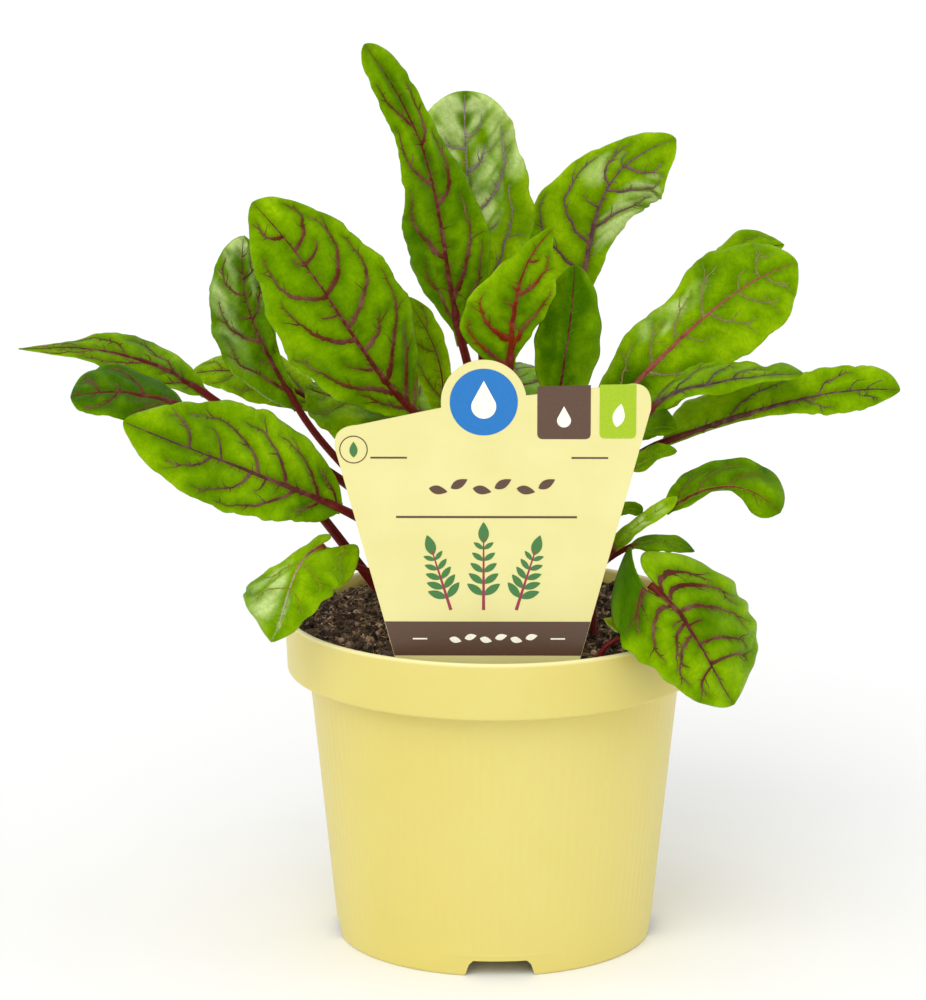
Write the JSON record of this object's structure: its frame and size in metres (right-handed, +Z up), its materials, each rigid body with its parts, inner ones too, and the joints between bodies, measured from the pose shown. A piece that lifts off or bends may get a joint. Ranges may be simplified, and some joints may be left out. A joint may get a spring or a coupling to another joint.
{
  "type": "sorrel plant",
  "caption": "Red-veined sorrel plant with arching, blunt leaves on dark red stalks, growing in a round tapered nursery pot of soil with a flat plant label.",
  "frame": {"origin": "middle of the whole plant's bounding box in plan, at the height of the pot's foot; the pot's own axis stands at x = +10 mm, y = -17.6 mm", "axes": "+Z up along the pot's axis; -Y is the front, where the label's printed face looks; +X is to the right seen from the front"},
  "size_m": [0.2484, 0.1552, 0.261],
  "materials": {
    "pot_plastic": "pale yellow, satin, slightly translucent moulded plastic",
    "potting_soil": "dark, moist, crumbly and fibrous",
    "label_card": "printed, satin",
    "leaf_green": "fresh green leaf with dark red veins, satin to glossy",
    "stalk_red": "dark red, smooth, slightly glossy"
  },
  "bodies": {
    "root": {"pot": "pot_plastic", "soil": "potting_soil", "label": "label_card", "leaf_01_blade": "leaf_green", "leaf_01_stalk": "stalk_red", "leaf_02_blade": "leaf_green", "leaf_02_stalk": "stalk_red", "leaf_03_blade": "leaf_green", "leaf_03_stalk": "stalk_red", "leaf_04_blade": "leaf_green", "leaf_04_stalk": "stalk_red", "leaf_05_blade": "leaf_green", "leaf_05_stalk": "stalk_red", "leaf_06_blade": "leaf_green", "leaf_06_stalk": "stalk_red", "leaf_07_blade": "leaf_green", "leaf_07_stalk": "stalk_red", "leaf_08_blade": "leaf_green", "leaf_08_stalk": "stalk_red", "leaf_09_blade": "leaf_green", "leaf_09_stalk": "stalk_red", "leaf_10_blade": "leaf_green", "leaf_10_stalk": "stalk_red", "leaf_11_blade": "leaf_green", "leaf_11_stalk": "stalk_red", "leaf_12_blade": "leaf_green", "leaf_12_stalk": "stalk_red", "leaf_13_blade": "leaf_green", "leaf_13_stalk": "stalk_red", "leaf_14_blade": "leaf_green", "leaf_14_stalk": "stalk_red", "leaf_15_blade": "leaf_green", "leaf_15_stalk": "stalk_red", "leaf_16_blade": "leaf_green", "leaf_16_stalk": "stalk_red", "leaf_17_blade": "leaf_green", "leaf_17_stalk": "stalk_red", "leaf_18_blade": "leaf_green", "leaf_18_stalk": "stalk_red", "leaf_19_blade": "leaf_green", "leaf_19_stalk": "stalk_red", "leaf_20_blade": "leaf_green", "leaf_20_stalk": "stalk_red", "leaf_21_blade": "leaf_green", "leaf_21_stalk": "stalk_red", "leaf_22_blade": "leaf_green", "leaf_22_stalk": "stalk_red", "leaf_23_blade": "leaf_green", "leaf_23_stalk": "stalk_red", "leaf_24_blade": "leaf_green", "leaf_24_stalk": "stalk_red", "leaf_25_blade": "leaf_green", "leaf_25_stalk": "stalk_red", "leaf_26_blade": "leaf_green", "leaf_26_stalk": "stalk_red", "leaf_27_blade": "leaf_green", "leaf_27_stalk": "stalk_red", "leaf_28_blade": "leaf_green", "leaf_28_stalk": "stalk_red"}
  },
  "joints": []
}
